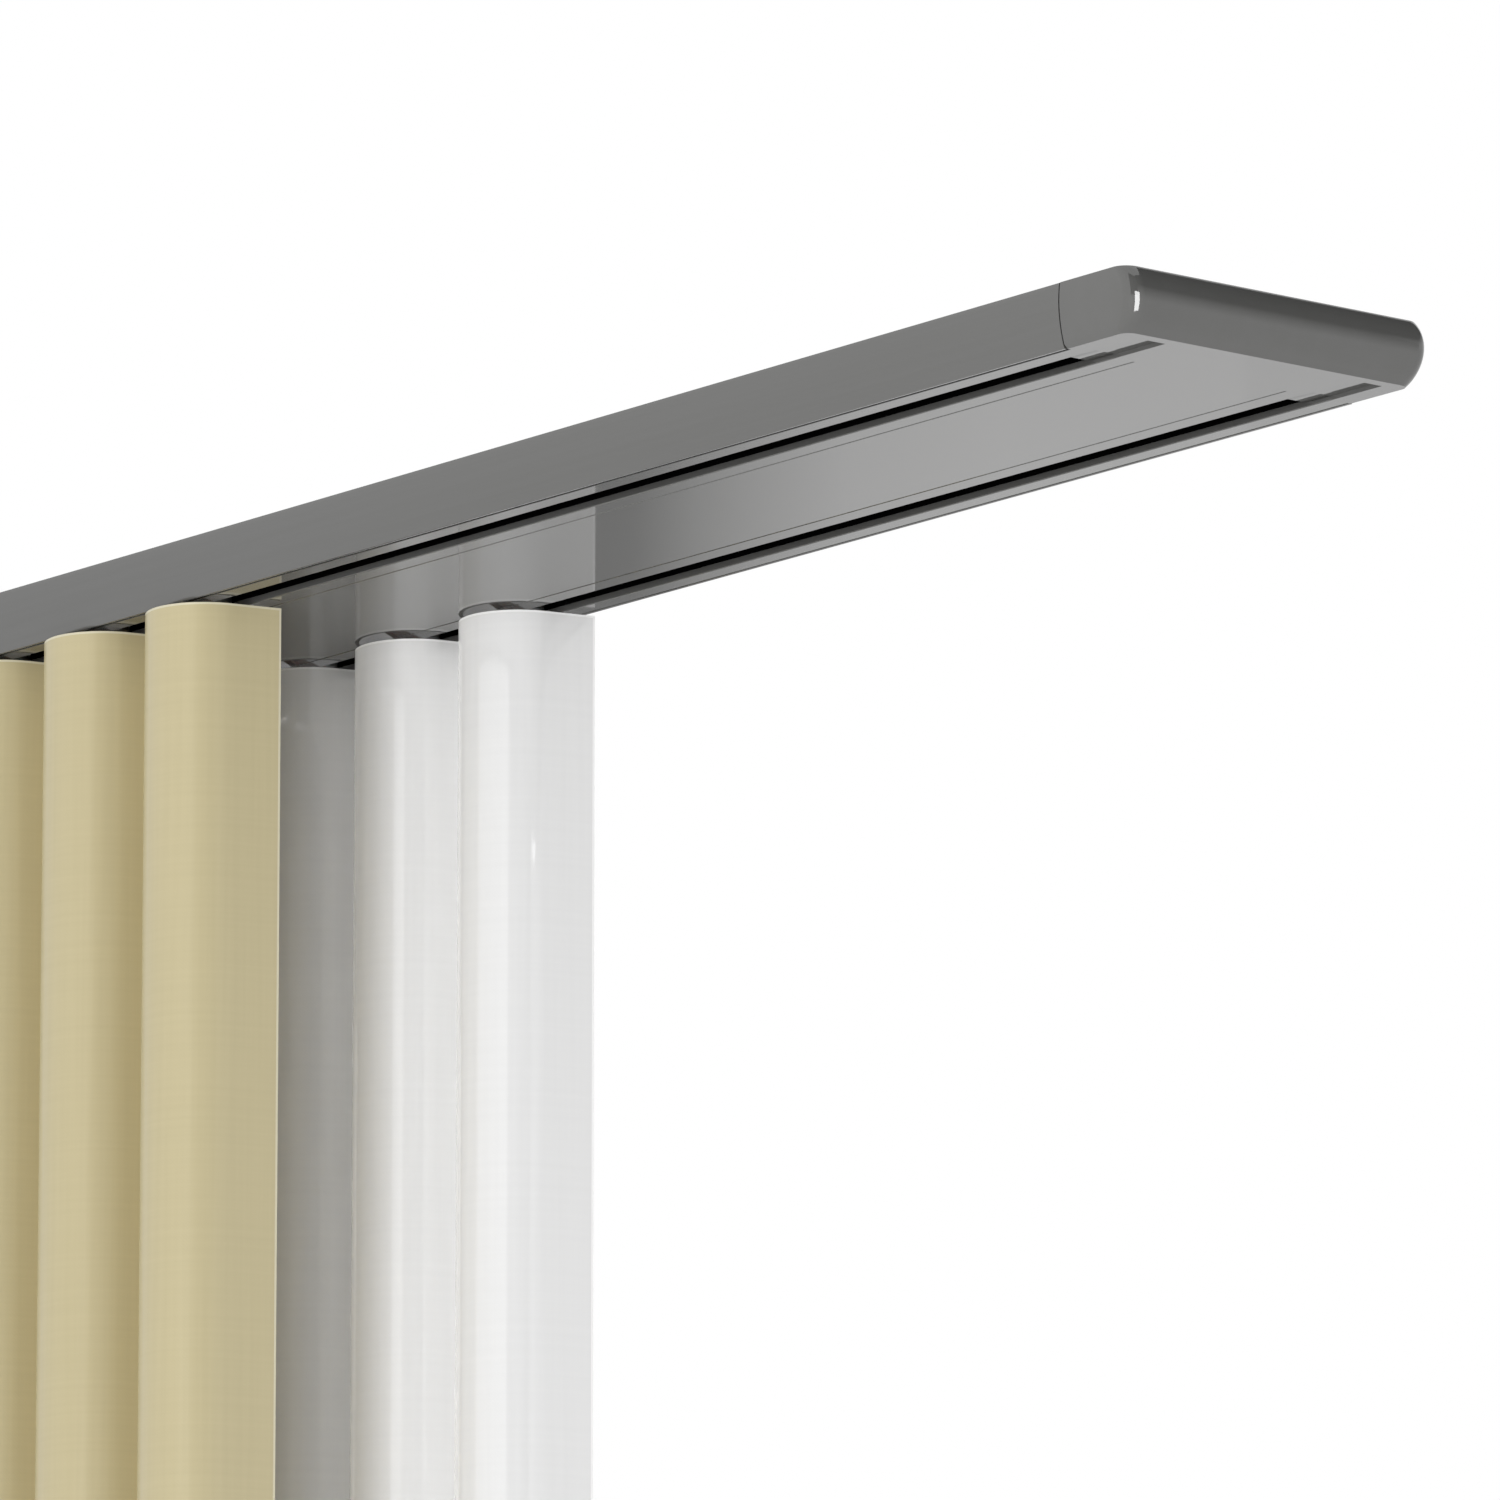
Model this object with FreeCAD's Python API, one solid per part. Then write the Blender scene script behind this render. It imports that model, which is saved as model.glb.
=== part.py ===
import FreeCAD, Part
import math
import os

# A ceiling curtain track with two runs, dressed with two curtains.
# Millimetres. X runs along the track, Y across it towards the window, Z up.
# The origin lies on the ceiling, midway between the two ceiling screws.

# Track section
track_height = 14.0
run_spacing = 60.0
slot_width = 7.7
channel_width = 13.0
channel_height = 8.2
lip_thickness = 1.6
wall = 1.4
lip_round = 0.4
flange_reach = 0.5
clip_lip = 3.0
nib_width = 0.8
nib_height = 0.9
groove_inset = 2.5
groove_width = 0.6
groove_depth = 0.3

# Track length, from seam to seam
profile_length = 763.0

# Clip-on side covers
cover_thickness = 1.2
cover_gap = 0.6
cover_foot = 0.8
cover_foot_height = 1.0
side_flare = 1.35
side_bow = 1.45
hook_width = 1.1
hook_play = 0.5
rib_thickness = 1.2

# End caps
cap_length = 18.6
end_bulge = 4.75
end_top_reach = 2.0
cap_corner_radius = 3.5
cap_edge = 0.9
cap_steps = 7
cap_slot_end = 2.5
plug_length = 8.0
plug_play = 0.25
tongue_recess = 0.9
middle_plug_height = 6.0

# Ceiling clips
clip_spacing = 500.0
clip_length = 40.0
clip_thickness = 1.0
clip_play = 0.5
clip_hook_reach = 2.3
clip_nose = 0.5
clip_ramp = 1.4
screw_hole_radius = 2.3

# Gliders with a moulded hook
glider_length = 9.0
glider_side_play = 0.8
glider_head = 2.8
glider_corner = 2.2
running_clearance = 0.2
neck_thickness = 3.6
neck_length = 2.4
hook_thickness = 1.8
prong_thickness = 1.4
prong_gap = 1.1
prong_taper = 0.6
hook_drop = 14.0
prong_below_heading = 3.0
hook_bevel = 1.0
arm_drop = 3.0

# End stops that hold the last hook of each curtain
stop_length = 14.0
stop_height = 6.0
stop_hook_inset = 3.0
stop_screw_offset = 7.0
stop_screw_radius = 1.5
stop_screw_play = 0.1
stop_screw_recess = 0.6
stop_socket_across = 1.5
stop_socket_depth = 1.5

# Curtains
curtain_drop = 1200.0
heading_gap = 1.0
fabric_thickness = 0.8
fabric_clearance = 0.3
front_reach = 12.5
front_radius = 13.4
back_radius = 5.0
flank_length = 6.54
flank_lean_degrees = 13.0
edge_reach = 10.0
front_lead_from_end = 316.3
rear_lead_from_end = 278.2

# Levels and places that follow from the sizes
underside = -track_height
lip_top = underside + lip_thickness
roof_bottom = lip_top + channel_height
roof_top = roof_bottom + wall
half_run = run_spacing / 2
inner_wall = half_run - channel_width / 2
outer_wall = half_run + channel_width / 2
flange_edge = outer_wall + wall + flange_reach
side_bottom = flange_edge + cover_gap + cover_foot
seam = profile_length / 2
end_edge = seam + cap_length
heading = underside - heading_gap
prong_face = front_reach - fabric_thickness / 2 - fabric_clearance
glider_width = channel_width - 2 * glider_side_play
tip_turn = math.radians(90.0 - flank_lean_degrees)
both_radii = front_radius + back_radius
wave_pitch = 2 * (both_radii * math.sin(tip_turn) + flank_length * math.cos(tip_turn))
front_centre = front_radius - front_reach
back_centre = front_centre + flank_length * math.sin(tip_turn) - both_radii * math.cos(tip_turn)
edge_run = edge_reach - front_centre + front_radius * math.cos(tip_turn)
edge_span = front_radius * math.sin(tip_turn) + edge_run / math.tan(tip_turn)
runs = {"front": -half_run, "rear": half_run}
lead_edges = {"front": end_edge - front_lead_from_end, "rear": end_edge - rear_lead_from_end}

side_circle = Part.Circle(
    FreeCAD.Vector(0, side_bottom, underside),
    FreeCAD.Vector(0, side_bottom + side_bow, underside / 2),
    FreeCAD.Vector(0, side_bottom + side_flare, 0),
)
end_circle = Part.Circle(
    FreeCAD.Vector(end_edge, 0, underside),
    FreeCAD.Vector(end_edge + end_bulge, 0, underside / 2),
    FreeCAD.Vector(end_edge + end_top_reach, 0, 0),
)


def across(y, z):
    return FreeCAD.Vector(0, y, z)


def side_face(z, inset=0.0):
    """The point of the bowed side face at height z, moved inwards by inset."""
    radius = side_circle.Radius - inset
    rise = z - side_circle.Center.z
    return across(side_circle.Center.y + math.sqrt(radius**2 - rise**2), z)


def side_arc(z_from, z_to, inset=0.0):
    """The stretch of the bowed side face between two heights."""
    middle = side_face((z_from + z_to) / 2, inset)
    return Part.Arc(side_face(z_from, inset), middle, side_face(z_to, inset)).toShape()


def outline(corners):
    """A closed wire through corners (point, radius), each rounded by its radius."""
    starts, ends, arcs = [], [], []
    for i, (point, radius) in enumerate(corners):
        before = (corners[i - 1][0] - point).normalize()
        after = (corners[(i + 1) % len(corners)][0] - point).normalize()
        half = before.getAngle(after) / 2
        cut = radius / math.tan(half)
        starts.append(point + before * cut)
        ends.append(point + after * cut)
        if radius:
            bisector = (before + after).normalize()
            middle = point + bisector * (radius / math.sin(half) - radius)
            arcs.append(Part.Arc(starts[i], middle, ends[i]).toShape())
    lines = [Part.makeLine(ends[i - 1], starts[i]) for i in range(len(corners))]
    return Part.Wire(Part.sortEdges(lines + arcs)[0])


def sharp(points):
    return [(point, 0.0) for point in points]


def along_track(wire, x_from, x_to):
    """Extrudes a section across the track from one place along it to another."""
    face = Part.Face(wire)
    face.translate(FreeCAD.Vector(x_from, 0, 0))
    return face.extrude(FreeCAD.Vector(x_to - x_from, 0, 0))


def block(x, y, z):
    """A box between pairs of limits along the three axes."""
    size = (x[1] - x[0], y[1] - y[0], z[1] - z[0])
    return Part.makeBox(*size, FreeCAD.Vector(x[0], y[0], z[0]))


def mirrored(shape, normal):
    return shape.mirror(FreeCAD.Vector(0, 0, 0), normal)


def save(name, shape):
    print(f"{name}: {len(shape.Solids)} solid, {shape.Volume:.0f} mm3, valid {shape.isValid()}")
    shape.exportStep(f"parts/{name}.step")


# Extruded profile: two slotted channels, the flat underside between them and the lips for the clips
def track_profile():
    groove = inner_wall - groove_inset
    slot_inner = half_run - slot_width / 2
    slot_outer = half_run + slot_width / 2
    wall_outer = outer_wall + wall
    half = [
        (across(groove - groove_width / 2, underside), 0.0),
        (across(groove, underside + groove_depth), 0.0),
        (across(groove + groove_width / 2, underside), 0.0),
        (across(slot_inner, underside), lip_round),
        (across(slot_inner, lip_top), 0.0),
        (across(inner_wall, lip_top), 0.0),
        (across(inner_wall, roof_bottom), 0.0),
        (across(outer_wall, roof_bottom), 0.0),
        (across(outer_wall, lip_top), 0.0),
        (across(slot_outer, lip_top), 0.0),
        (across(slot_outer, underside), lip_round),
        (across(flange_edge, underside), 0.0),
        (across(flange_edge, lip_top), 0.0),
        (across(wall_outer, lip_top), 0.0),
        (across(wall_outer, roof_top + nib_height), 0.0),
        (across(wall_outer - nib_width, roof_top + nib_height), 0.0),
        (across(wall_outer - nib_width, roof_top), 0.0),
        (across(inner_wall - wall - clip_lip, roof_top), 0.0),
        (across(inner_wall - wall - clip_lip, roof_bottom), 0.0),
        (across(inner_wall - wall, roof_bottom), 0.0),
        (across(inner_wall - wall, lip_top), 0.0),
    ]
    other = [(across(-point.y, point.z), radius) for point, radius in reversed(half)]
    return along_track(outline(half + other), -seam, seam)


# Side cover: a bowed skin that hooks over the profile's roof and bears on its outer wall
def rear_cover():
    wall_outer = outer_wall + wall
    hook_outer = wall_outer - nib_width - hook_play
    hook_inner = hook_outer - hook_width
    rib_top = underside / 2 + rib_thickness / 2
    rib_bottom = rib_top - rib_thickness
    foot_top = underside + cover_foot_height
    path = [
        across(side_bottom + side_flare, 0),
        across(hook_inner, 0),
        across(hook_inner, roof_top),
        across(hook_outer, roof_top),
        across(hook_outer, -cover_thickness),
        side_face(-cover_thickness, cover_thickness),
    ]
    rib = [
        side_face(rib_top, cover_thickness),
        across(wall_outer, rib_top),
        across(wall_outer, rib_bottom),
        side_face(rib_bottom, cover_thickness),
    ]
    foot = [
        side_face(foot_top, cover_thickness),
        across(side_bottom - cover_foot, foot_top),
        across(side_bottom - cover_foot, underside),
        across(side_bottom, underside),
    ]
    edges = [Part.makeLine(a, b) for run in (path, rib, foot) for a, b in zip(run, run[1:])]
    edges.append(side_arc(underside, 0))
    edges.append(side_arc(-cover_thickness, rib_top, cover_thickness))
    edges.append(side_arc(rib_bottom, foot_top, cover_thickness))
    return along_track(Part.Wire(Part.sortEdges(edges)[0]), -seam, seam)


# Plan of the end cap at height z: straight sides and end, rounded corners, drawn in by inset
def cap_plan(z, inset=0.0):
    half_width = side_face(z).y - inset
    rise = z - end_circle.Center.z
    end = end_circle.Center.x + math.sqrt(end_circle.Radius**2 - rise**2) - inset
    radius = cap_corner_radius - inset
    return outline([
        (FreeCAD.Vector(seam, -half_width, z), 0.0),
        (FreeCAD.Vector(end, -half_width, z), radius),
        (FreeCAD.Vector(end, half_width, z), radius),
        (FreeCAD.Vector(seam, half_width, z), 0.0),
    ])


# Outer form of the end cap: plans at even turns of the bull nose, above a bevelled lower rim
def cap_form():
    rim = underside + cap_edge
    turn_low = math.asin((rim - end_circle.Center.z) / end_circle.Radius)
    turn_high = math.asin(-end_circle.Center.z / end_circle.Radius)
    step = (turn_high - turn_low) / cap_steps
    turns = [turn_low + i * step for i in range(1, cap_steps)]
    levels = [rim] + [end_circle.Center.z + end_circle.Radius * math.sin(t) for t in turns] + [0.0]
    lowest = cap_plan(rim, cap_edge)
    lowest.translate(FreeCAD.Vector(0, 0, -cap_edge))
    return Part.makeLoft([lowest] + [cap_plan(z) for z in levels], True, True)


# End cap, with its short slots and the plugs that push into the profile
def right_end_cap():
    body = cap_form()
    tongue_bottom = underside + tongue_recess
    plug_start = seam - plug_length
    for y in runs.values():
        slot = (y - slot_width / 2, y + slot_width / 2)
        body = body.cut(block((seam, end_edge - cap_slot_end), slot, (underside, tongue_bottom)))
        narrow = (slot[0] + plug_play, slot[1] - plug_play)
        wide = (y - channel_width / 2 + plug_play, y + channel_width / 2 - plug_play)
        plug = block((plug_start, seam), wide, (lip_top, roof_bottom - plug_play))
        tongue = block((plug_start, seam), narrow, (tongue_bottom, lip_top))
        body = body.fuse([plug, tongue])
    middle_half = inner_wall - wall - plug_play
    middle = (lip_top, lip_top + middle_plug_height)
    body = body.fuse(block((plug_start, seam), (-middle_half, middle_half), middle))
    return body.removeSplitter()


# Ceiling clip: a bent spring plate that is screwed up and snaps under the profile's lips
def ceiling_clip(x):
    leg_outer = inner_wall - wall - clip_lip - clip_play
    leg_inner = leg_outer - clip_thickness
    hook_outer = leg_outer + clip_hook_reach
    nose_low = roof_bottom - clip_nose
    ramp_low = nose_low - clip_ramp
    half = [
        (across(leg_outer, 0), clip_thickness),
        (across(leg_outer, roof_bottom), 0.0),
        (across(hook_outer, roof_bottom), 0.0),
        (across(hook_outer, nose_low), 0.0),
        (across(leg_outer, ramp_low), 0.0),
        (across(leg_inner, ramp_low), 0.0),
        (across(leg_inner, -clip_thickness), 0.0),
    ]
    other = [(across(-point.y, point.z), radius) for point, radius in reversed(half)]
    plate = along_track(outline(half + other), x - clip_length / 2, x + clip_length / 2)
    up = FreeCAD.Vector(0, 0, 1)
    low = FreeCAD.Vector(x, 0, -clip_thickness)
    return plate.cut(Part.makeCylinder(screw_hole_radius, clip_thickness, low, up))


# Hook under a glider: it passes the slot, steps forward inside the wave and turns up behind the cloth
def hook(x, y):
    neck = neck_thickness / 2
    prong_back = prong_face - prong_thickness
    shank_front = prong_back - prong_gap
    shank_back = shank_front - hook_thickness
    low = heading - hook_drop
    root = lip_top + running_clearance + glider_head / 2
    step_top = underside - running_clearance
    prong_top = heading - prong_below_heading
    points = [
        (neck, root),
        (neck, step_top),
        (shank_front, step_top - arm_drop),
        (shank_front, low + hook_thickness),
        (prong_back, low + hook_thickness),
        (prong_back, prong_top),
        (prong_face - prong_taper, prong_top),
        (prong_face, prong_top - 2 * prong_thickness),
        (prong_face, low + hook_bevel),
        (prong_face - hook_bevel, low),
        (shank_back + hook_bevel, low),
        (shank_back, low + hook_bevel),
        (shank_back, step_top - arm_drop - hook_thickness / 2),
        (-neck, step_top - hook_thickness),
        (-neck, root),
    ]
    wire = outline(sharp([across(y - forward, z) for forward, z in points]))
    return along_track(wire, x - neck_length / 2, x + neck_length / 2)


# Glider: a flat head that slides on the two lips, with its hook
def glider(x, y):
    length = glider_length / 2
    width = glider_width / 2
    low = lip_top + running_clearance
    quarter = [(length, width - glider_corner), (length - glider_corner, width)]
    plan = quarter + [(-px, py) for px, py in reversed(quarter)]
    plan = plan + [(-px, -py) for px, py in plan]
    points = [FreeCAD.Vector(x + px, y + py, low) for px, py in plan]
    head = Part.Face(outline(sharp(points))).extrude(FreeCAD.Vector(0, 0, glider_head))
    return head.fuse(hook(x, y)).removeSplitter()


# End stop: a block clamped in the channel by its own screw, with the hook for the last wave
def end_stop(x, y):
    screw_x = x - stop_screw_offset
    right = x + stop_hook_inset
    width = (y - glider_width / 2, y + glider_width / 2)
    body = block((right - stop_length, right), width, (lip_top, lip_top + stop_height))
    low = FreeCAD.Vector(screw_x, y, lip_top)
    hole = Part.makeCylinder(stop_screw_radius + stop_screw_play, stop_height, low)
    return body.cut(hole).fuse(hook(x, y)).removeSplitter()


def stop_screw(x, y):
    low = FreeCAD.Vector(x - stop_screw_offset, y, underside + stop_screw_recess)
    length = roof_bottom - low.z
    screw = Part.makeCylinder(stop_screw_radius, length, low)
    reach = stop_socket_across / math.sqrt(3)
    turns = [math.radians(60 * i) for i in range(6)]
    corners = [low + FreeCAD.Vector(reach * math.cos(t), reach * math.sin(t), 0) for t in turns]
    socket = Part.Face(outline(sharp(corners))).extrude(FreeCAD.Vector(0, 0, stop_socket_depth))
    return screw.cut(socket)


def on_tip(x, y, radius, angle):
    """A point of a rounded tip: angle 0 is the tip itself, and a negative radius points to the front."""
    return FreeCAD.Vector(x + abs(radius) * math.sin(angle), y + radius * math.cos(angle), heading)


def edge_corner(x, y, side, offset):
    """A corner of the free edge beside a front tip: side is 1 at the leading edge, -1 at the tail."""
    along = edge_span + offset * math.sin(tip_turn)
    return FreeCAD.Vector(x + side * along, y + edge_reach - offset * math.cos(tip_turn), heading)


# One face of the cloth: wide tips in front, tight tips behind, joined by straight flanks
def wave_face(tips, y, offset):
    front = -(front_radius + offset)
    back = back_radius - offset
    front_y = y + front_centre
    back_y = y + back_centre
    turns = (tip_turn, 0.0, -tip_turn)
    edges = [Part.Arc(*[on_tip(x, front_y, front, t) for t in turns]).toShape() for x in tips]
    for right, left in zip(tips, tips[1:]):
        arc = [on_tip((right + left) / 2, back_y, back, t) for t in turns]
        edges.append(Part.Arc(*arc).toShape())
        edges.append(Part.makeLine(on_tip(right, front_y, front, -tip_turn), arc[0]))
        edges.append(Part.makeLine(arc[2], on_tip(left, front_y, front, tip_turn)))
    for x, side in ((tips[0], 1), (tips[-1], -1)):
        start = on_tip(x, front_y, front, side * tip_turn)
        edges.append(Part.makeLine(start, edge_corner(x, y, side, offset)))
    return edges


# Curtain: one cloth in even waves that swing to both sides of the slot, hung straight down
def curtain(tips, y):
    half_cloth = fabric_thickness / 2
    edges = wave_face(tips, y, half_cloth) + wave_face(tips, y, -half_cloth)
    for x, side in ((tips[0], 1), (tips[-1], -1)):
        corners = [edge_corner(x, y, side, offset) for offset in (half_cloth, -half_cloth)]
        edges.append(Part.makeLine(*corners))
    face = Part.Face(Part.Wire(Part.sortEdges(edges)[0]))
    return face.extrude(FreeCAD.Vector(0, 0, -curtain_drop))


os.makedirs("parts", exist_ok=True)
save("track_profile", track_profile())
back_cover = rear_cover()
save("rear_cover", back_cover)
save("front_cover", mirrored(back_cover, FreeCAD.Vector(0, 1, 0)))
right_cap = right_end_cap()
save("right_end_cap", right_cap)
save("left_end_cap", mirrored(right_cap, FreeCAD.Vector(1, 0, 0)))
save("left_ceiling_clip", ceiling_clip(-clip_spacing / 2))
save("right_ceiling_clip", ceiling_clip(clip_spacing / 2))

channel_start = -seam + plug_length + stop_length
for run, y in runs.items():
    first = lead_edges[run] - edge_span
    waves = int((first - edge_span - channel_start) / wave_pitch) + 1
    tips = [first - k * wave_pitch for k in range(waves)]
    save(f"{run}_curtain", curtain(tips, y))
    save(f"{run}_lead_glider", glider(tips[0], y))
    for number, x in enumerate(tips[1:-1], start=2):
        save(f"{run}_glider_{number:02d}", glider(x, y))
    save(f"{run}_end_stop", end_stop(tips[-1], y))
    save(f"{run}_stop_screw", stop_screw(tips[-1], y))
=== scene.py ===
import math

import bmesh
import bpy
import numpy as np
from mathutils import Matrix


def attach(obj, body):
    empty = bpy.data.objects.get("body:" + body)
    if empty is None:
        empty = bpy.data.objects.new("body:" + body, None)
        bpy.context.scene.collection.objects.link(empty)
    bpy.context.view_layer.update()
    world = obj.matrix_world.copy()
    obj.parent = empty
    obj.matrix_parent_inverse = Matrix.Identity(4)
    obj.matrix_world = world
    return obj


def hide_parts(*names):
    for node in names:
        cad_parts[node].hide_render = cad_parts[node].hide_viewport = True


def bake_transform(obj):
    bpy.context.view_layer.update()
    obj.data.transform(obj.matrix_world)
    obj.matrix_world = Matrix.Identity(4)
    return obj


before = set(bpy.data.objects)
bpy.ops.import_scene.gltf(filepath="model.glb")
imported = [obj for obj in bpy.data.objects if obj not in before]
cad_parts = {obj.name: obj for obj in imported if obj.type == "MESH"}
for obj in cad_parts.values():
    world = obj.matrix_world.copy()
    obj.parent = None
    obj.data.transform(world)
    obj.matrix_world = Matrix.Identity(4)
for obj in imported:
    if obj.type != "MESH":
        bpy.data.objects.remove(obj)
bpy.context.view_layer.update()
mm = 0.001
print("frame loaded:", len(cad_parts), "nodes")


# Small helpers for colours, nodes and meshes

# an sRGB hex code as linear light: a straight foot, then a power curve
def linearColour(hexCode):
    srgb = np.array([int(hexCode[i:i + 2], 16) for i in (1, 3, 5)]) / 255
    linear = np.where(srgb <= 0.04045, srgb / 12.92, ((srgb + 0.055) / 1.055) ** 2.4)
    return (*linear.tolist(), 1.0)


# adds one node, sets its properties, and fills or links its inputs
def addNode(tree, kind, inputs=None, **settings):
    node = tree.nodes.new(kind)
    for key, value in settings.items():
        setattr(node, key, value)
    for key, value in (inputs or {}).items():
        if isinstance(value, bpy.types.NodeSocket):
            tree.links.new(value, node.inputs[key])
        else:
            node.inputs[key].default_value = value
    return node


# a new material with one principled shader wired to its output
def newMaterial(name):
    material = bpy.data.materials.new(name)
    material.use_nodes = True
    tree = material.node_tree
    tree.nodes.clear()
    shader = addNode(tree, "ShaderNodeBsdfPrincipled")
    addNode(tree, "ShaderNodeOutputMaterial", {"Surface": shader.outputs["BSDF"]})
    return material, tree, shader


# quads of a grid with the given rows and columns of points, numbered row by row
def gridFaces(rows, columns, first=0):
    index = first + np.arange(rows * columns).reshape(rows, columns)
    quads = [index[:-1, :-1], index[:-1, 1:], index[1:, 1:], index[1:, :-1]]
    return np.stack(quads, -1).reshape(-1, 4)


weld = {"doublesMm": 0.002, "sliversMm": 0.001}


# one mesh from several patches of points in millimetres and faces; the seams between them are welded
def buildPiece(name, patches, material, sharpAngle=35):
    points = np.concatenate([patch[0].reshape(-1, 3) for patch in patches])
    starts = np.cumsum([0] + [len(patch[0].reshape(-1, 3)) for patch in patches])
    faces = [[start + i for i in face]
             for start, patch in zip(starts, patches) for face in patch[1]]
    mesh = bpy.data.meshes.new(name)
    mesh.from_pydata((points * mm).tolist(), [], faces)
    work = bmesh.new()
    work.from_mesh(mesh)
    bmesh.ops.remove_doubles(work, verts=work.verts, dist=weld["doublesMm"] * mm)
    bmesh.ops.dissolve_degenerate(work, edges=work.edges, dist=weld["sliversMm"] * mm)
    bmesh.ops.recalc_face_normals(work, faces=work.faces)
    work.to_mesh(mesh)
    work.free()
    mesh.polygons.foreach_set("use_smooth", np.ones(len(mesh.polygons), dtype=bool))
    mesh.set_sharp_from_angle(angle=math.radians(sharpAngle))
    mesh.materials.append(material)
    piece = bpy.data.objects.new(name, mesh)
    bpy.context.scene.collection.objects.link(piece)
    return piece


# a closed section with every corner (y, z, radius) rounded: the arc turns from one side to the next
# Support points beside each arc keep the flats between them flat in their shading.
def roundedSection(corners, steps=4, support=0.0):
    corners = np.asarray(corners, float)
    point, radius = corners[:, :2], corners[:, 2:]
    before = np.roll(point, 1, axis=0) - point
    after = np.roll(point, -1, axis=0) - point
    before /= np.linalg.norm(before, axis=1, keepdims=True)
    after /= np.linalg.norm(after, axis=1, keepdims=True)
    half = np.arccos(np.clip((before * after).sum(1, keepdims=True), -1, 1)) / 2
    bisector = before + after
    bisector /= np.linalg.norm(bisector, axis=1, keepdims=True)
    centre = point + bisector * radius / np.sin(half)
    fromStart = point + before * radius / np.tan(half) - centre
    fromEnd = point + after * radius / np.tan(half) - centre
    turn = (np.pi - 2 * half)[:, :, None]
    t = np.linspace(0, 1, steps)[None, :, None]
    arcs = np.sin((1 - t) * turn) * fromStart[:, None] + np.sin(t * turn) * fromEnd[:, None]
    arcs = centre[:, None] + arcs / np.sin(turn)
    if support:
        opening = arcs[:, :1] + before[:, None] * support
        closing = arcs[:, -1:] + after[:, None] * support
        arcs = np.concatenate([opening, arcs, closing], 1)
    return arcs.reshape(-1, 2)


# a section in millimetres carried straight along X, closed at both ends
def carrySection(section, xFrom, xTo):
    count = len(section)
    ring = np.concatenate([section, section[:1]])
    points = np.zeros((2, count + 1, 3))
    points[:, :, 0] = np.array([xFrom, xTo])[:, None]
    points[:, :, 1:] = ring
    faces = gridFaces(2, count + 1).tolist()
    faces.append(list(range(count)))
    faces.append(list(range(count + 1, 2 * count + 1)))
    return points, faces


# the circle through three points of a plane
def circleThrough(a, b, c):
    rows = 2 * np.array([np.subtract(b, a), np.subtract(c, a)])
    squares = [np.dot(b, b) - np.dot(a, a), np.dot(c, c) - np.dot(a, a)]
    centre = np.linalg.solve(rows, squares)
    return centre, math.dist(centre, a)


# Materials

# powder coat over extruded aluminium: an even, glossy skin with faint die lines along the length
# The IOR is above the usual 1.5, matched to how strongly the track mirrors the curtains.
# Inside the channels and at the joint edge its colour is nearly black: painted shade, so slots and seams
# read as dark lines.
def makePowderCoat(name, recess=None):
    coat = {
        "colour": "#5c5c5a",
        "streakColour": "#616160",
        "roughness": (0.05, 0.08),
        "ior": 1.75,
        "dieLineMm": 1.6,
        "dieLineStretch": 0.02,
        "peelMm": 1.2,
        "peelStrength": 0.02,
        "peelDepthMm": 0.1,
    }
    material, tree, shader = newMaterial(name)
    place = addNode(tree, "ShaderNodeTexCoord").outputs["Object"]
    along = addNode(tree, "ShaderNodeMapping", {
        "Vector": place, "Scale": (coat["dieLineStretch"], 1, 1)})
    lines = addNode(tree, "ShaderNodeTexNoise", {
        "Vector": along.outputs["Vector"], "Scale": 1000 / coat["dieLineMm"], "Detail": 3.0})
    mixed = addNode(tree, "ShaderNodeMix", {
        "Factor": lines.outputs["Fac"], "A": linearColour(coat["colour"]),
        "B": linearColour(coat["streakColour"])}, data_type="RGBA")
    # painted shade: inside the channels and on the flange's joint edge, where shade falls, the colour is
    # nearly black
    if recess:
        axes = addNode(tree, "ShaderNodeSeparateXYZ", {"Vector": place}).outputs
        away = addNode(tree, "ShaderNodeMath", {0: axes["Y"]}, operation="ABSOLUTE").outputs["Value"]
        wide = addNode(tree, "ShaderNodeMath", {
            0: away, 1: recess["y"] * mm, 2: recess["halfWidth"] * mm}, operation="COMPARE")
        high = addNode(tree, "ShaderNodeMath", {
            0: axes["Z"], 1: recess["z"] * mm, 2: recess["halfHeight"] * mm}, operation="COMPARE")
        inside = addNode(tree, "ShaderNodeMath", {
            0: wide.outputs["Value"], 1: high.outputs["Value"]}, operation="MULTIPLY")
        joint = addNode(tree, "ShaderNodeMath", {
            0: away, 1: recess["joint"] * mm}, operation="GREATER_THAN")
        paintedShadeMask = addNode(tree, "ShaderNodeMath", {
            0: inside.outputs["Value"], 1: joint.outputs["Value"]}, operation="MAXIMUM")
        mixed = addNode(tree, "ShaderNodeMix", {
            "Factor": paintedShadeMask.outputs["Value"], "A": mixed.outputs["Result"],
            "B": linearColour(recess["colour"])}, data_type="RGBA")
    tree.links.new(mixed.outputs["Result"], shader.inputs["Base Color"])
    gloss = addNode(tree, "ShaderNodeMapRange", {
        "Value": lines.outputs["Fac"], "To Min": coat["roughness"][0], "To Max": coat["roughness"][1]})
    tree.links.new(gloss.outputs["Result"], shader.inputs["Roughness"])
    peel = addNode(tree, "ShaderNodeTexNoise", {
        "Vector": place, "Scale": 1000 / coat["peelMm"], "Detail": 2.0})
    bump = addNode(tree, "ShaderNodeBump", {
        "Height": peel.outputs["Fac"], "Strength": coat["peelStrength"],
        "Distance": coat["peelDepthMm"] * mm})
    tree.links.new(bump.outputs["Normal"], shader.inputs["Normal"])
    shader.inputs["IOR"].default_value = coat["ior"]
    return material


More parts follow.
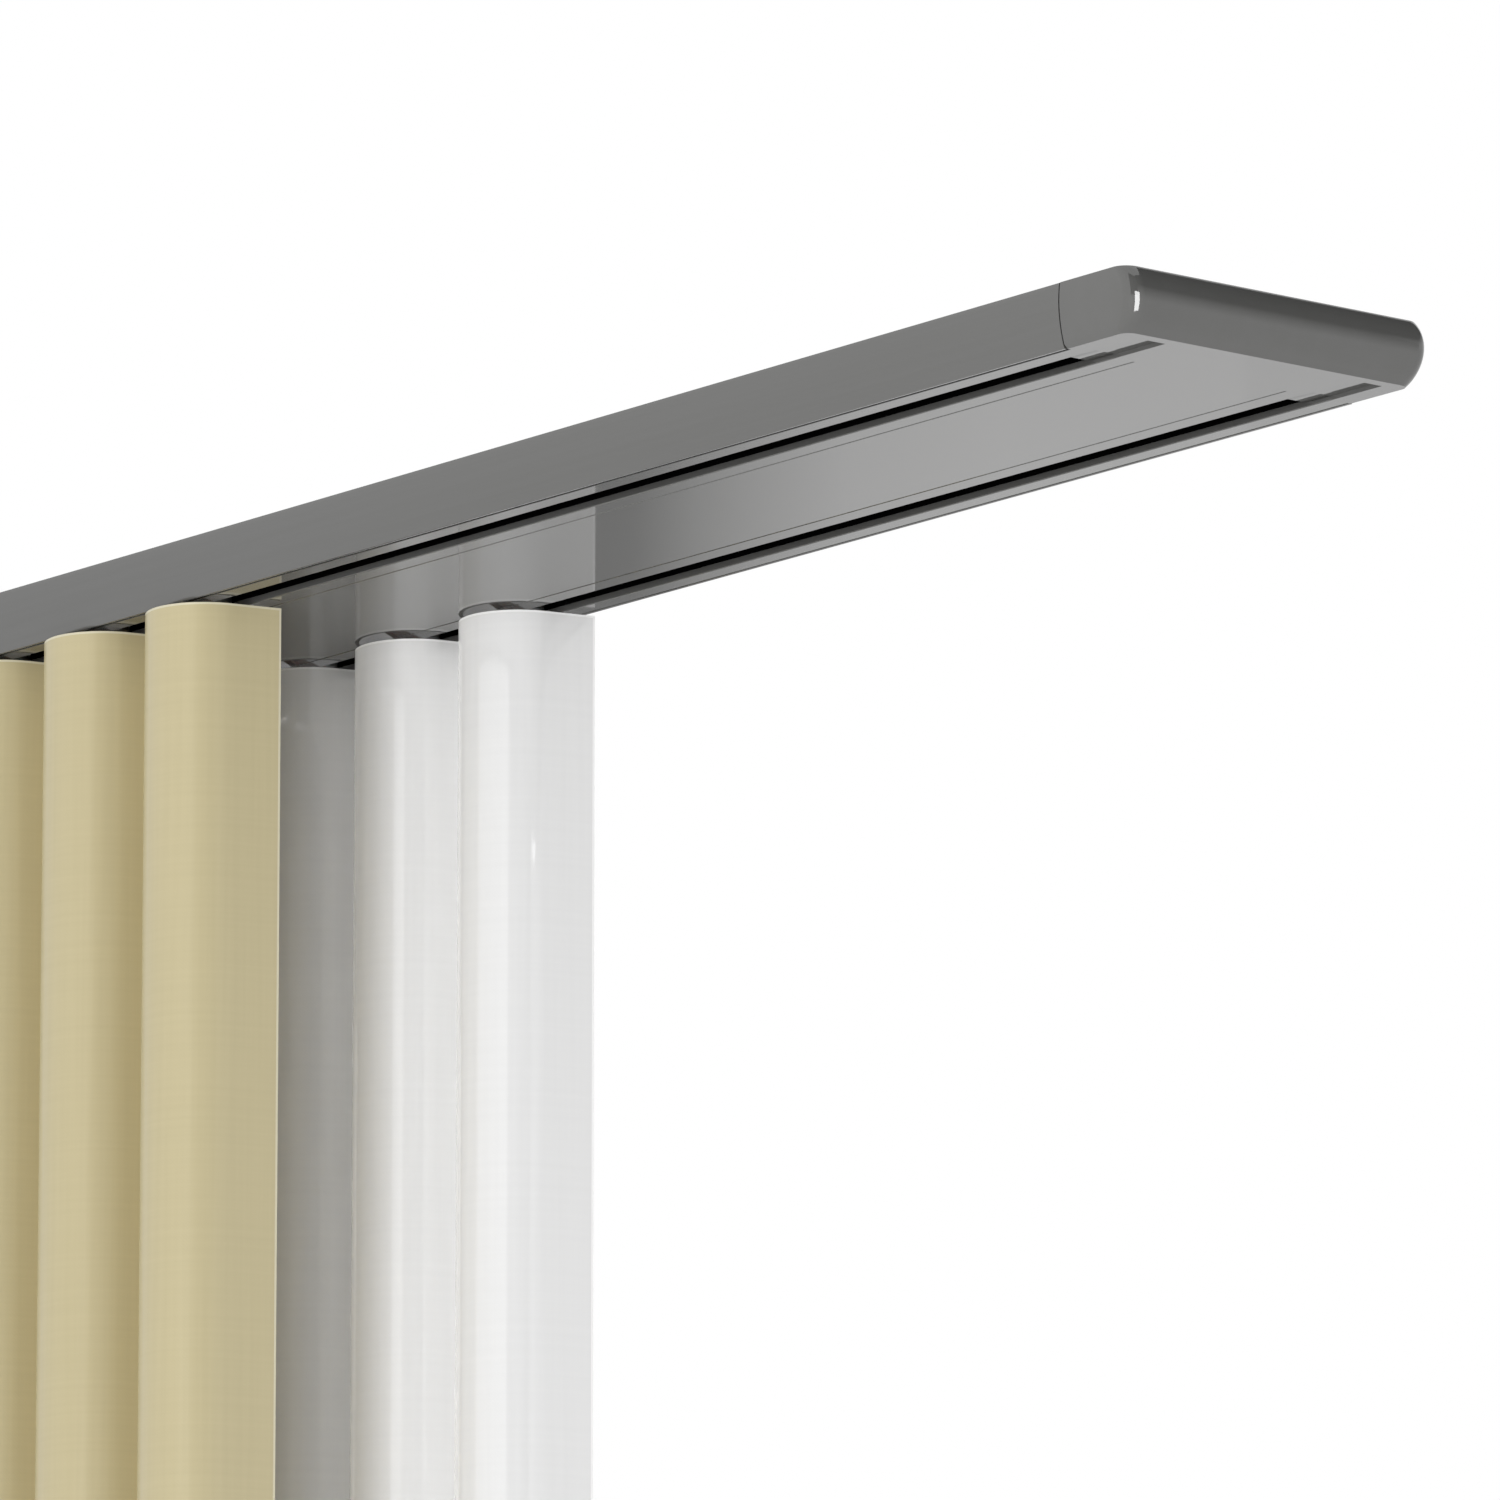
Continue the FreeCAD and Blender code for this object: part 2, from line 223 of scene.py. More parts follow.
# gloss ABS from a polished mould: smooth, with a very faint flow mottle; IOR as on the track
def makeGlossAbs():
    plastic = {"colour": "#5c5c5a", "mottleColour": "#616160", "roughness": (0.05, 0.09), "ior": 1.75,
               "mottleMm": 6.0}
    material, tree, shader = newMaterial("mouldedGlossAbs")
    place = addNode(tree, "ShaderNodeTexCoord").outputs["Object"]
    mottle = addNode(tree, "ShaderNodeTexNoise", {
        "Vector": place, "Scale": 1000 / plastic["mottleMm"], "Detail": 4.0})
    mixed = addNode(tree, "ShaderNodeMix", {
        "Factor": mottle.outputs["Fac"], "A": linearColour(plastic["colour"]),
        "B": linearColour(plastic["mottleColour"])}, data_type="RGBA")
    tree.links.new(mixed.outputs["Result"], shader.inputs["Base Color"])
    gloss = addNode(tree, "ShaderNodeMapRange", {
        "Value": mottle.outputs["Fac"],
        "To Min": plastic["roughness"][0], "To Max": plastic["roughness"][1]})
    tree.links.new(gloss.outputs["Result"], shader.inputs["Roughness"])
    shader.inputs["IOR"].default_value = plastic["ior"]
    return material


# zinc-plated spring steel: rolled strip, so the brush lines run one way
def makeSpringSteel():
    steel = {"colour": "#a9a9a8", "roughness": (0.28, 0.45), "brushMm": 0.8, "brushStretch": 0.05}
    material, tree, shader = newMaterial("zincPlatedSpringSteel")
    place = addNode(tree, "ShaderNodeTexCoord").outputs["Object"]
    along = addNode(tree, "ShaderNodeMapping", {
        "Vector": place, "Scale": (1, steel["brushStretch"], 1)})
    brush = addNode(tree, "ShaderNodeTexNoise", {
        "Vector": along.outputs["Vector"], "Scale": 1000 / steel["brushMm"], "Detail": 3.0})
    gloss = addNode(tree, "ShaderNodeMapRange", {
        "Value": brush.outputs["Fac"], "To Min": steel["roughness"][0], "To Max": steel["roughness"][1]})
    tree.links.new(gloss.outputs["Result"], shader.inputs["Roughness"])
    shader.inputs["Base Color"].default_value = linearColour(steel["colour"])
    shader.inputs["Metallic"].default_value = 1.0
    return material


# acetal gliders: moulded, slightly waxy, with a fine spark-eroded grain
def makeAcetal():
    acetal = {"colour": "#4a4a49", "roughness": 0.42, "subsurface": 0.08,
              "grainMm": 0.5, "grainStrength": 0.15, "grainDepthMm": 0.1}
    material, tree, shader = newMaterial("mouldedAcetal")
    place = addNode(tree, "ShaderNodeTexCoord").outputs["Object"]
    grain = addNode(tree, "ShaderNodeTexNoise", {
        "Vector": place, "Scale": 1000 / acetal["grainMm"], "Detail": 2.0})
    bump = addNode(tree, "ShaderNodeBump", {
        "Height": grain.outputs["Fac"], "Strength": acetal["grainStrength"],
        "Distance": acetal["grainDepthMm"] * mm})
    tree.links.new(bump.outputs["Normal"], shader.inputs["Normal"])
    shader.inputs["Base Color"].default_value = linearColour(acetal["colour"])
    shader.inputs["Roughness"].default_value = acetal["roughness"]
    shader.inputs["Subsurface Weight"].default_value = acetal["subsurface"]
    return material


# woven cloth: warp and weft over the piece's own UV, which holds metres of cloth
# The threads are drawn coarser than the real half millimetre, so that they show.
# Slubs, drawn out along both threads, mottle the colour. The top and the leading side have a lighter band:
# a painted highlight along the edge.
# The coat gives the smooth sheen of a pressed cloth.
def makeCloth(name, cloth):
    yarn = {"slubStretch": 0.02, "slubRange": (0.7, 1.3), "weaveShare": 0.35,
            "reliefMm": 0.1, "specular": 0.2}
    material, tree, shader = newMaterial(name)
    flat = addNode(tree, "ShaderNodeUVMap", uv_map="clothMetres").outputs["UV"]
    axes = addNode(tree, "ShaderNodeSeparateXYZ", {"Vector": flat})
    turnsPerMetre = 2 * math.pi * 1000 / cloth["threadMm"]
    waves = []
    for axis in ("X", "Y"):
        turn = addNode(tree, "ShaderNodeMath", {
            0: axes.outputs[axis], 1: turnsPerMetre}, operation="MULTIPLY")
        waves.append(addNode(tree, "ShaderNodeMath", {0: turn.outputs["Value"]}, operation="SINE"))
    weave = addNode(tree, "ShaderNodeMath", {
        0: waves[0].outputs["Value"], 1: waves[1].outputs["Value"]}, operation="MULTIPLY")
    slubs = []
    for scale in ((1, yarn["slubStretch"], 1), (yarn["slubStretch"], 1, 1)):
        drawn = addNode(tree, "ShaderNodeMapping", {"Vector": flat, "Scale": scale})
        slubs.append(addNode(tree, "ShaderNodeTexNoise", {
            "Vector": drawn.outputs["Vector"], "Scale": 1000 / cloth["slubMm"], "Detail": 3.0}))
    slub = addNode(tree, "ShaderNodeMath", {
        0: slubs[0].outputs["Fac"], 1: slubs[1].outputs["Fac"]}, operation="ADD")
    shade = addNode(tree, "ShaderNodeMapRange", {
        "Value": slub.outputs["Value"],
        "From Min": yarn["slubRange"][0], "From Max": yarn["slubRange"][1]})
    mixed = addNode(tree, "ShaderNodeMix", {
        "Factor": shade.outputs["Result"], "A": linearColour(cloth["darkThread"]),
        "B": linearColour(cloth["lightThread"])}, data_type="RGBA")
    # painted highlight: a lighter colour in a thin band along the top and the leading edge
    edge = cloth["edgeHighlightMm"] * mm
    top = addNode(tree, "ShaderNodeMath", {
        0: axes.outputs["Y"], 1: -edge}, operation="GREATER_THAN")
    lead = addNode(tree, "ShaderNodeMath", {
        0: axes.outputs["X"], 1: edge}, operation="LESS_THAN")
    cut = addNode(tree, "ShaderNodeMath", {
        0: top.outputs["Value"], 1: lead.outputs["Value"]}, operation="MAXIMUM")
    edgeHighlighted = addNode(tree, "ShaderNodeMix", {
        "Factor": cut.outputs["Value"], "A": mixed.outputs["Result"],
        "B": linearColour(cloth["edgeHighlight"])}, data_type="RGBA")
    tree.links.new(edgeHighlighted.outputs["Result"], shader.inputs["Base Color"])
    height = addNode(tree, "ShaderNodeMath", {
        0: weave.outputs["Value"], 1: yarn["weaveShare"], 2: slub.outputs["Value"]},
        operation="MULTIPLY_ADD")
    bump = addNode(tree, "ShaderNodeBump", {
        "Height": height.outputs["Value"], "Strength": cloth["relief"],
        "Distance": yarn["reliefMm"] * mm})
    tree.links.new(bump.outputs["Normal"], shader.inputs["Normal"])
    shader.inputs["Roughness"].default_value = cloth["roughness"]
    shader.inputs["Specular IOR Level"].default_value = yarn["specular"]
    shader.inputs["Coat Weight"].default_value = cloth["coat"]
    shader.inputs["Coat Roughness"].default_value = cloth["coatRoughness"]
    shader.inputs["Coat IOR"].default_value = cloth["coatIor"]
    return material


powderCoat = makePowderCoat("powderCoatedAluminium")
# the profile's coat has painted shade: nearly black inside the channels and on the joint edge
profileCoatWithPaintedShade = makePowderCoat("powderCoatedProfilePaintedShade", {
    "y": 30.0, "halfWidth": 6.55, "z": -8.3, "halfHeight": 4.12, "joint": 38.25, "colour": "#0a0a0a"})
glossAbs = makeGlossAbs()
springSteel = makeSpringSteel()
acetal = makeAcetal()
# each cloth's lighter edge colour is a painted highlight along its top and leading edge
beigeCloth = makeCloth("beigePolyesterWeave", {
    "darkThread": "#cabe96", "lightThread": "#cec29a", "edgeHighlight": "#dfd8bd", "edgeHighlightMm": 0.5,
    "threadMm": 0.9, "slubMm": 1.4, "relief": 0.08, "roughness": 0.8,
    "coat": 0.8, "coatRoughness": 0.25, "coatIor": 1.6})
whiteCloth = makeCloth("whitePolyesterWeave", {
    "darkThread": "#eaeaea", "lightThread": "#ededed", "edgeHighlight": "#fdfdfd", "edgeHighlightMm": 0.5,
    "threadMm": 0.9, "slubMm": 1.6, "relief": 0.05, "roughness": 0.75,
    "coat": 1.0, "coatRoughness": 0.05, "coatIor": 1.75})
print("materials made")

# Track sizes in millimetres, as the part has them

track = {
    "underside": -14.0, "lipTop": -12.4, "roofBottom": -4.2, "roofTop": -2.8,
    "halfRun": 30.0, "slotHalf": 3.85, "channelHalf": 6.5, "wall": 1.4,
    "flangeEdge": 38.4, "seam": 381.5,
    "lipRadius": 0.2, "edgeRadius": 0.15, "seamGap": 0.35,
}


# Extruded profile: two slotted channels under one roof, a section carried along X
def makeProfile():
    extra = {"clipLip": 3.0, "nibWidth": 0.8, "nibHeight": 0.9,
             "grooveInset": 2.5, "grooveHalf": 0.3, "grooveDepth": 0.3,
             "grooveEdge": 0.08, "grooveRoot": 0.05, "support": 0.03}
    low, lip = track["underside"], track["lipTop"]
    roof, top = track["roofBottom"], track["roofTop"]
    inner = track["halfRun"] - track["channelHalf"]
    outer = track["halfRun"] + track["channelHalf"]
    slotInner = track["halfRun"] - track["slotHalf"]
    slotOuter = track["halfRun"] + track["slotHalf"]
    wallOuter = outer + track["wall"]
    wallInner = inner - track["wall"]
    groove = inner - extra["grooveInset"]
    big, small = track["lipRadius"], track["edgeRadius"]
    half = np.array([
        (groove - extra["grooveHalf"], low, extra["grooveEdge"]),
        (groove, low + extra["grooveDepth"], extra["grooveRoot"]),
        (groove + extra["grooveHalf"], low, extra["grooveEdge"]),
        (slotInner, low, big),
        (slotInner, lip, big),
        (inner, lip, small),
        (inner, roof, small),
        (outer, roof, small),
        (outer, lip, small),
        (slotOuter, lip, big),
        (slotOuter, low, big),
        (track["flangeEdge"], low, big),
        (track["flangeEdge"], lip, small),
        (wallOuter, lip, small),
        (wallOuter, top + extra["nibHeight"], small),
        (wallOuter - extra["nibWidth"], top + extra["nibHeight"], small),
        (wallOuter - extra["nibWidth"], top, small),
        (wallInner - extra["clipLip"], top, small),
        (wallInner - extra["clipLip"], roof, small),
        (wallInner, roof, small),
        (wallInner, lip, small),
    ])
    other = half[::-1] * [-1, 1, 1]
    section = roundedSection(np.concatenate([half, other]), steps=5, support=extra["support"])
    patch = carrySection(section, -track["seam"], track["seam"])
    piece = buildPiece("extrudedProfile", [patch], profileCoatWithPaintedShade)
    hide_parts("track_profile")
    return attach(piece, "track")


# the outer side of covers and caps: one arc through its foot, its fullest point and its top edge
side = {"bottom": 39.8, "bow": 1.45, "flare": 1.35}
sideCentre, sideRadius = circleThrough(
    (side["bottom"], track["underside"]),
    (side["bottom"] + side["bow"], track["underside"] / 2),
    (side["bottom"] + side["flare"], 0.0))


# half width of the bowed side face at height z, moved inwards by inset
def sideWidth(z, inset=0.0):
    return sideCentre[0] + np.sqrt((sideRadius - inset) ** 2 - (z - sideCentre[1]) ** 2)


# Clip-on cover: a bowed skin with a hook over the roof and a rib against the wall
def makeCover(name, node, sign):
    cover = {"skin": 1.2, "foot": 0.8, "footHeight": 1.0, "hookOuter": 36.6, "hookWidth": 1.1,
             "rib": 1.2, "wallOuter": 37.9, "edgeRadius": 0.2, "arcPoints": 15}
    low, skin = track["underside"], cover["skin"]
    ribTop = low / 2 + cover["rib"] / 2
    ribLow = ribTop - cover["rib"]
    footTop = low + cover["footHeight"]
    hookInner = cover["hookOuter"] - cover["hookWidth"]

    def arc(zFrom, zTo, inset):
        z = np.linspace(zFrom, zTo, cover["arcPoints"])
        return np.stack([sideWidth(z, inset), z], 1)

    inside = np.concatenate([
        arc(-skin, ribTop, skin),
        [(cover["wallOuter"], ribTop), (cover["wallOuter"], ribLow)],
        arc(ribLow, footTop, skin)])
    rim = [(side["bottom"] - cover["foot"], footTop), (side["bottom"] - cover["foot"], low)]
    hook = [(hookInner, 0.0), (hookInner, track["roofTop"]),
            (cover["hookOuter"], track["roofTop"]), (cover["hookOuter"], -skin)]
    path = np.concatenate([hook, inside, rim, arc(low, 0.0, 0.0)])
    corners = np.column_stack([path * [sign, 1], np.full(len(path), cover["edgeRadius"])])
    reach = track["seam"] - track["seamGap"]
    patch = carrySection(roundedSection(corners, steps=3), -reach, reach)
    piece = buildPiece(name, [patch], powderCoat)
    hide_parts(node)
    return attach(piece, "track")


# End cap: plans with rounded corners stacked up the bull nose, above a bevelled rim
def makeCap(name, node, sign):
    cap = {"length": 18.6, "bulge": 4.75, "topReach": 2.0, "corner": 3.5, "bevel": 0.9,
           "rows": 28, "cornerPoints": 18, "straightPoints": 7, "slotEnd": 2.5, "recess": 0.9,
           "plugLength": 8.0, "plugPlay": 0.25, "middleHeight": 6.0, "plugRadius": 0.2}
    low, seam = track["underside"], track["seam"]
    endEdge = seam + cap["length"]
    endCentre, endRadius = circleThrough(
        (endEdge, low), (endEdge + cap["bulge"], low / 2), (endEdge + cap["topReach"], 0.0))
    rim = low + cap["bevel"]
    turns = np.arcsin((np.array([rim, 0.0]) - endCentre[1]) / endRadius)
    levels = endCentre[1] + endRadius * np.sin(np.linspace(*turns, cap["rows"]))

    # each row is a plan: along one side, round a corner, across the end, round, and back
    z = np.concatenate([[rim], levels])[:, None]
    inset = np.zeros_like(z)
    inset[0] = cap["bevel"]
    halfWidth = sideWidth(z) - inset
    end = endCentre[0] + np.sqrt(endRadius ** 2 - (z - endCentre[1]) ** 2) - inset
    radius = cap["corner"] - inset
    turn = np.linspace(0, np.pi / 2, cap["cornerPoints"])[None, :]
    run = np.linspace(0, 1, cap["straightPoints"] + 1)[None, :-1]
    sideX = seam + (end - radius - seam) * run
    cornerX = end - radius + radius * np.sin(turn)
    cornerY = radius - halfWidth - radius * np.cos(turn)
    acrossY = (radius - halfWidth) * (1 - 2 * run[:, 1:])
    sideY = halfWidth + 0 * sideX
    x = np.concatenate([sideX, cornerX, end + 0 * acrossY, cornerX[:, ::-1], sideX[:, ::-1]], 1)
    y = np.concatenate([-sideY, cornerY, acrossY, -cornerY[:, ::-1], sideY], 1)
    z[0] = low
    wall = np.stack([x, y, z + 0 * x], -1)
    patches = [(wall, gridFaces(*x.shape).tolist())]

    # flat faces take the wall's own rim points; the slots are notches in the underside and the back
    slotX, slotTop = endEdge - cap["slotEnd"], low + cap["recess"]
    runs = [track["halfRun"], -track["halfRun"]]
    across = np.add.outer(runs, [track["slotHalf"], -track["slotHalf"]])

    def notches(xs, zs):
        return np.stack([np.tile(xs, 2), across.repeat(2), np.tile(zs, 2)], 1)

    underNotch = notches([seam, slotX, slotX, seam], [low] * 4)
    backNotch = notches([seam] * 4, [low, slotTop, slotTop, low])
    for outline in (np.concatenate([wall[0], underNotch]), wall[-1],
                    np.concatenate([wall[:, 0], wall[::-1, -1], backNotch])):
        patches.append((outline, [range(len(outline))]))
    for high, lower in across:
        cut = ((high, low), (high, slotTop), (lower, slotTop), (lower, low))
        trough = np.array([[(sx, sy, sz) for sy, sz in cut] for sx in (seam, slotX)])
        patches.append((trough, gridFaces(2, 4).tolist() + [range(4, 8)]))

    # plugs that push into the two channels and the middle of the profile
    play, lip = cap["plugPlay"], track["lipTop"]
    narrow, wide = track["slotHalf"] - play, track["channelHalf"] - play
    plugTop = track["roofBottom"] - play
    channelPlug = np.array([(-narrow, slotTop), (narrow, slotTop), (narrow, lip), (wide, lip),
                            (wide, plugTop), (-wide, plugTop), (-wide, lip), (-narrow, lip)])
    middleHalf = track["halfRun"] - track["channelHalf"] - track["wall"] - play
    middleTop = lip + cap["middleHeight"]
    middle = np.array([(-middleHalf, lip), (middleHalf, lip),
                       (middleHalf, middleTop), (-middleHalf, middleTop)])
    for plug in (channelPlug + [track["halfRun"], 0], channelPlug - [track["halfRun"], 0], middle):
        rounds = np.full(len(plug), cap["plugRadius"])
        section = roundedSection(np.column_stack([plug, rounds]), steps=3)
        patches.append(carrySection(section, seam - cap["plugLength"], seam))
    mirrored = [(points * [sign, 1, 1], faces) for points, faces in patches]
    piece = buildPiece(name, mirrored, glossAbs, sharpAngle=30)
    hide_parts(node)
    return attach(piece, "track")


makeProfile()
makeCover("frontCover", "front_cover", -1)
makeCover("rearCover", "rear_cover", 1)
caps = [makeCap("rightEndCap", "right_end_cap", 1), makeCap("leftEndCap", "left_end_cap", -1)]
print("track made")

# Curtains: one cloth each, in even waves that swing to both sides of the slot

wave = {
    "frontReach": 12.5, "frontRadius": 13.4, "backRadius": 5.0, "flankLength": 6.54, "flankLean": 13.0,
    "edgeReach": 10.0, "frontPoints": 28, "backPoints": 14, "flankPoints": 3, "edgePoints": 6,
    "thickness": 0.8, "heading": -15.0, "drop": 1200.0,
    "tapeHeight": 26.0, "tapeThickness": 0.15, "hemHeight": 60.0, "hemThickness": 0.7,
    "hookRoom": 0.7, "sharpAngle": 60.0,
    "sway": 2.0, "swayFrom": 0.2, "swayTurns": (2.3, 1.7), "swayStart": (1.3, 0.4), "swayFall": (2.1, 3.3),
    "rimDepth": 1.0, "tapeFrom": 3.0, "tapeRows": 4, "stepDepth": 1.5,
    "bodyMargin": 20.0, "bodyRows": 44, "hemRows": 6,
}
tipTurn = math.radians(90 - wave["flankLean"])
bothRadii = wave["frontRadius"] + wave["backRadius"]
wavePitch = 2 * (bothRadii * math.sin(tipTurn) + wave["flankLength"] * math.cos(tipTurn))
frontCentre = wave["frontRadius"] - wave["frontReach"]
backCentre = frontCentre + wave["flankLength"] * math.sin(tipTurn) - bothRadii * math.cos(tipTurn)
edgeRun = wave["edgeReach"] - frontCentre + wave["frontRadius"] * math.cos(tipTurn)
edgeSpan = wave["frontRadius"] * math.sin(tipTurn) + edgeRun / math.tan(tipTurn)


# points of a straight line, without its last one
def straight(begin, finish, points):
    share = np.linspace(0, 1, points, endpoint=False)[:, None]
    return begin + share * (np.asarray(finish) - begin)


# the cloth's middle line in plan, from the leading edge: wide arcs in front and tight arcs behind,
# each turned from one flank to the next, with straight flanks between and straight free edges
def clothLine(lead, waves, y):
    def arc(centre, radius, points):
        angle = np.linspace(tipTurn, -tipTurn, points)
        x = centre[0] + abs(radius) * np.sin(angle)
        return np.stack([x, centre[1] + radius * np.cos(angle)], 1)

    front = arc((0, frontCentre), -wave["frontRadius"], wave["frontPoints"])
    back = arc((-wavePitch / 2, backCentre), wave["backRadius"], wave["backPoints"])
    down = straight(front[-1], back[0], wave["flankPoints"])
    up = straight(back[-1], front[0] - [wavePitch, 0], wave["flankPoints"])
    one = np.concatenate([front[:-1], down, back[:-1], up])
    shifts = np.stack([-wavePitch * np.arange(waves), np.zeros(waves)], 1)
    body = (one[None] + shifts[:, None]).reshape(-1, 2)[:-len(one)]
    leadEdge = np.array([edgeSpan, wave["edgeReach"]])
    lastFront = front + shifts[-1]
    tailEdge = leadEdge * [-1, 1] + shifts[-1]
    opening = straight(leadEdge, front[0], wave["edgePoints"])
    closing = straight(lastFront[-1], tailEdge, wave["edgePoints"])
    line = np.concatenate([opening, body, lastFront[:-1], closing, [tailEdge]])
    return line + [lead - edgeSpan, y]


# the sheet: the plan line carried down, swaying a little more towards the hem, with both faces and rims
# It hangs a little out from the hooks, which leaves them room when the waves are gathered.
def makeCurtain(name, run, y, lead, waves, material):
    line = clothLine(lead, waves, y - wave["hookRoom"])
    along = np.append(0, np.cumsum(np.linalg.norm(np.diff(line, axis=0), axis=1)))
    drop, hem, tape = wave["drop"], wave["hemHeight"], wave["tapeHeight"]
    rim, step, margin = wave["rimDepth"], wave["stepDepth"], wave["bodyMargin"]
    depths = np.concatenate([
        [0, rim], np.linspace(wave["tapeFrom"], tape, wave["tapeRows"]), [tape + step],
        np.linspace(tape + margin, drop - hem - margin, wave["bodyRows"]), [drop - hem - step],
        np.linspace(drop - hem, drop - rim, wave["hemRows"]), [drop]])
    ease = np.clip((depths / drop - wave["swayFrom"]) / (1 - wave["swayFrom"]), 0, 1)[:, None]
    ease = ease * ease * (3 - 2 * ease)
    fall = depths[:, None] / drop
    count = (lead - line[:, 0])[None, :] / wavePitch
    swayX, swayY = [
        wave["sway"] * ease * np.sin(turns * count + start + lower * fall)
        for turns, start, lower in zip(wave["swayTurns"], wave["swayStart"], wave["swayFall"])]
    middle = np.stack([line[None, :, 0] + swayX, line[None, :, 1] + swayY,
                       wave["heading"] - depths[:, None] + 0 * swayX], -1)
    tangent = np.gradient(middle[:, :, :2], along, axis=1)
    tangent /= np.linalg.norm(tangent, axis=2, keepdims=True)
    outward = np.stack([-tangent[:, :, 1], tangent[:, :, 0], 0 * tangent[:, :, 0]], -1)
    extra = np.where(depths >= drop - hem, wave["hemThickness"], 0.0)
    extra = extra + np.where(depths <= tape, wave["tapeThickness"], 0.0)
    front = middle + outward * wave["thickness"] / 2
    back = middle - outward * (wave["thickness"] / 2 + extra[:, None, None])
    rows, columns = middle.shape[:2]
    size = rows * columns
    index = np.arange(2 * size).reshape(2, rows, columns)
    faces = [gridFaces(rows, columns), gridFaces(rows, columns, size)[:, ::-1]]
    edges = [(index[:, 0, :], 1), (index[:, -1, :], -1), (index[:, :, 0], -1), (index[:, :, -1], 1)]
    for edge, flip in edges:
        strip = np.stack([edge[0, :-1], edge[1, :-1], edge[1, 1:], edge[0, 1:]], 1)
        faces.append(strip[:, ::flip])
    mesh = bpy.data.meshes.new(name)
    points = np.stack([front, back]).reshape(-1, 3) * mm
    mesh.from_pydata(points.tolist(), [], np.concatenate(faces).tolist())
    mesh.polygons.foreach_set("use_smooth", np.ones(len(mesh.polygons), dtype=bool))
    mesh.set_sharp_from_angle(angle=math.radians(wave["sharpAngle"]))
    corner = np.zeros(len(mesh.loops), dtype=np.int32)
    mesh.loops.foreach_get("vertex_index", corner)
    lowered = -depths[None, :, None] + 0 * index
    cloth = np.stack(np.broadcast_arrays(along[None, None, :], lowered), -1)
    flat = (cloth.reshape(-1, 2) * mm)[corner]
    mesh.uv_layers.new(name="clothMetres").data.foreach_set("uv", flat.astype(np.float32).ravel())
    mesh.materials.append(material)
    piece = bpy.data.objects.new(name, mesh)
    bpy.context.scene.collection.objects.link(piece)
    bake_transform(piece)
    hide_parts(f"{run}_curtain")
    return piece


leadEdges = {"front": 83.8, "rear": 121.9}
waveCounts = {"front": 11, "rear": 12}
makeCurtain("frontCurtain", "front", -track["halfRun"], leadEdges["front"], waveCounts["front"],
            beigeCloth)
rearCurtain = makeCurtain("rearCurtain", "rear", track["halfRun"], leadEdges["rear"], waveCounts["rear"],
                          whiteCloth)

# CAD nodes that stay get their finishes
for nodeName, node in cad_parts.items():
    if node.hide_render:
        continue
    if "clip" in nodeName or "screw" in nodeName:
        node.data.materials[0] = springSteel
    else:
        node.data.materials[0] = acetal
print("finishes set")

# Camera, floor, world and lamps

camera = {"place": (2541.0, -1860.0, -701.6), "turn": 51.207, "tilt": 12.036,
          "focalPixels": 13934.0, "pixels": 1500, "sensor": 36.0, "clipEnd": 100.0}
lens = bpy.data.cameras.new("camera")
lens.sensor_width = camera["sensor"]
lens.lens = camera["sensor"] * camera["focalPixels"] / camera["pixels"]
lens.clip_end = camera["clipEnd"]
cameraObject = bpy.data.objects.new("camera", lens)
cameraObject.location = np.array(camera["place"]) * mm
cameraObject.rotation_euler = (math.radians(90 + camera["tilt"]), 0, math.radians(camera["turn"]))
bpy.context.scene.collection.objects.link(cameraObject)
bpy.context.scene.camera = cameraObject

studio = {"floorLevel": -1240.0, "floorHalf": 3000.0, "floorColour": "#e6e5e2",
          "floorGrainColour": "#ecebe8", "floorGrain": 40.0, "floorRoughness": 0.7, "floorGlow": 0.5,
          "ambientBelow": 0.8, "ambientAbove": 0.3, "ambientFrom": -0.3, "ambientTo": 0.6}
floorMaterial, floorTree, floorShader = newMaterial("paleFloor")
floorPlace = addNode(floorTree, "ShaderNodeTexCoord").outputs["Object"]
floorGrain = addNode(floorTree, "ShaderNodeTexNoise", {
    "Vector": floorPlace, "Scale": studio["floorGrain"], "Detail": 4.0})
floorMix = addNode(floorTree, "ShaderNodeMix", {
    "Factor": floorGrain.outputs["Fac"], "A": linearColour(studio["floorColour"]),
    "B": linearColour(studio["floorGrainColour"])}, data_type="RGBA")
floorTree.links.new(floorMix.outputs["Result"], floorShader.inputs["Base Color"])
floorShader.inputs["Roughness"].default_value = studio["floorRoughness"]
floorShader.inputs["Emission Color"].default_value = (1, 1, 1, 1)
# paler to the camera alone, and still with the object's shadow
floorPath = addNode(floorTree, "ShaderNodeLightPath").outputs
floorGlow = addNode(floorTree, "ShaderNodeMath", {
    0: floorPath["Is Camera Ray"], 1: studio["floorGlow"]}, operation="MULTIPLY")
floorTree.links.new(floorGlow.outputs["Value"], floorShader.inputs["Emission Strength"])
# a flat square grid at the floor's level
floorReach = studio["floorHalf"] * np.array([-1.0, 0.0, 1.0])
floorX, floorY = np.meshgrid(floorReach, floorReach, indexing="xy")
floorGrid = np.stack([floorX, floorY, np.full_like(floorX, studio["floorLevel"])], -1)
floor = buildPiece("floor", [(floorGrid, gridFaces(*floorX.shape).tolist())], floorMaterial)
floor.visible_glossy = False

